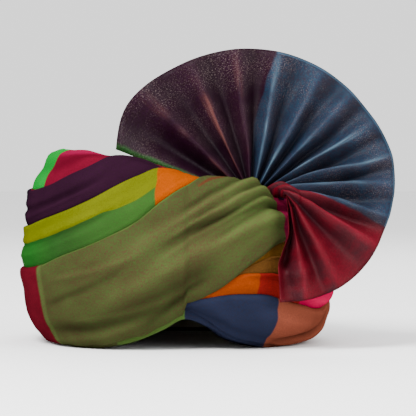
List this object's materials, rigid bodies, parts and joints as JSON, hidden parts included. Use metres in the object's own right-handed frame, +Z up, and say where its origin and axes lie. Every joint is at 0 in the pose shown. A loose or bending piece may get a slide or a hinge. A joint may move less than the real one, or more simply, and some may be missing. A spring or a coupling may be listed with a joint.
{
  "type": "turban",
  "caption": "Ready-tied wound turban with crossed wraps over the forehead, a closed crown and a tall pleated fan on the wearer's left.",
  "frame": {"origin": "middle of the footprint's bounding box, on the surface that the rim rests on", "axes": "-Y is the front of the head, +X the wearer's left, +Z up"},
  "size_m": [0.297, 0.2954, 0.2335],
  "materials": {
    "base_wrap": "woven",
    "crown_cap": "woven",
    "crown_wrap": "woven",
    "purple_wrap": "woven",
    "lime_green_wrap": "woven",
    "olive_swath": "woven",
    "blue_copper_wrap": "woven",
    "orange_red_pink_wrap": "woven",
    "ochre_wrap": "woven",
    "gold_wrap": "woven",
    "fan": "woven",
    "fan_root": "woven"
  },
  "bodies": {
    "root": {"base_wrap": "base_wrap", "crown_cap": "crown_cap", "crown_wrap": "crown_wrap", "purple_wrap": "purple_wrap", "lime_green_wrap": "lime_green_wrap", "olive_swath": "olive_swath", "blue_copper_wrap": "blue_copper_wrap", "orange_red_pink_wrap": "orange_red_pink_wrap", "ochre_wrap": "ochre_wrap", "gold_wrap": "gold_wrap", "fan": "fan", "fan_root": "fan_root"}
  },
  "joints": []
}
